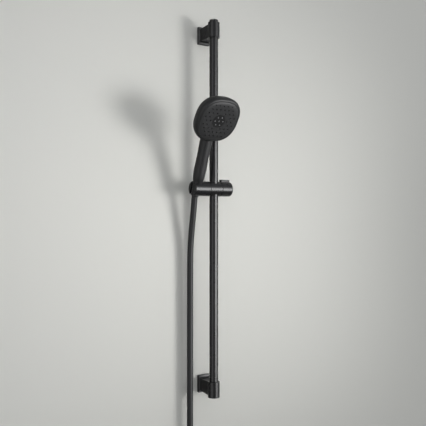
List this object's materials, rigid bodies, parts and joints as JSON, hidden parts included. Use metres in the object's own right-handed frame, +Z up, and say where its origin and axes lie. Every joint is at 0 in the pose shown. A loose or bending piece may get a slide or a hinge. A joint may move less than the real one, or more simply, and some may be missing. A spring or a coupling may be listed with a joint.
{
  "type": "hand shower rail set",
  "caption": "Matte black hand shower resting in a tilting slider on a wall rail with two brackets, with its hose and release button.",
  "frame": {"origin": "on the wall plane, midway between the two wall screws", "axes": "+X right along the wall, +Y into the wall, +Z up along the rail"},
  "size_m": [0.1584, 0.1959, 1.2347],
  "materials": {
    "satin_black": "satin black powder coat",
    "black_plastic": "satin black moulded plastic",
    "spray_face": "dark satin face",
    "nozzle_rubber": "dark silicone",
    "jet_face": "dark disc with pale jets",
    "inner_plastic": "natural moulded plastic",
    "hose_cover": "smooth satin black hose",
    "rubber": "black rubber",
    "steel": "plain steel"
  },
  "bodies": {
    "rail": {"rail_tube": "satin_black", "upper_rail_cap": "black_plastic", "lower_rail_cap": "black_plastic", "upper_bracket": "satin_black", "lower_bracket": "satin_black", "upper_wall_plate": "satin_black", "lower_wall_plate": "satin_black", "upper_grub_screws": "steel", "lower_grub_screws": "steel"},
    "bush": {"rail_bush": "black_plastic"},
    "slider": {"slider_body": "satin_black", "end_cap": "satin_black", "brake_pin": "inner_plastic", "button_spring": "steel", "friction_washer": "rubber", "pivot_screw": "steel", "hose_tube": "hose_cover", "hose_coil": "hose_cover", "hose_tie": "rubber", "hose_ferrule_end": "satin_black", "union_washer": "rubber"},
    "button": {"release_button": "black_plastic"},
    "holder": {"holder": "satin_black", "handset_shell": "black_plastic", "spray_plate": "spray_face", "nozzle_mat": "nozzle_rubber", "jet_insert": "jet_face", "distributor": "inner_plastic", "inlet_nipple": "black_plastic", "flow_limiter": "inner_plastic", "hose_washer": "rubber", "cone_nut": "satin_black", "hose_ferrule_top": "satin_black"},
    "union": {"union_nut": "satin_black"}
  },
  "joints": [
    {"name": "slider_slide", "type": "slide", "parent": "rail", "child": "bush", "axis": [0, 0, 1], "range_m": [-0.455, 0.35]},
    {"name": "slider_swivel", "type": "hinge", "parent": "bush", "child": "slider", "pos_m": [0, -0.051, 0.0525], "axis": [0, 0, 1], "range_deg": [-14, 45]},
    {"name": "button_press", "type": "slide", "parent": "slider", "child": "button", "axis": [0, 0, -1], "range_m": [0, 0.003], "stiffness_N_per_m": 1500, "springref_m": -0.001, "deforming": ["button_spring"]},
    {"name": "holder_tilt", "type": "hinge", "parent": "slider", "child": "holder", "pos_m": [0, -0.051, 0.0525], "axis": [1, 0, 0], "range_deg": [-15, 35], "deforming": ["hose_tube"]},
    {"name": "union_spin", "type": "hinge", "parent": "slider", "child": "union", "pos_m": [-0.028, -0.10385, -0.5805], "axis": [0, 1, 0], "continuous": true}
  ]
}
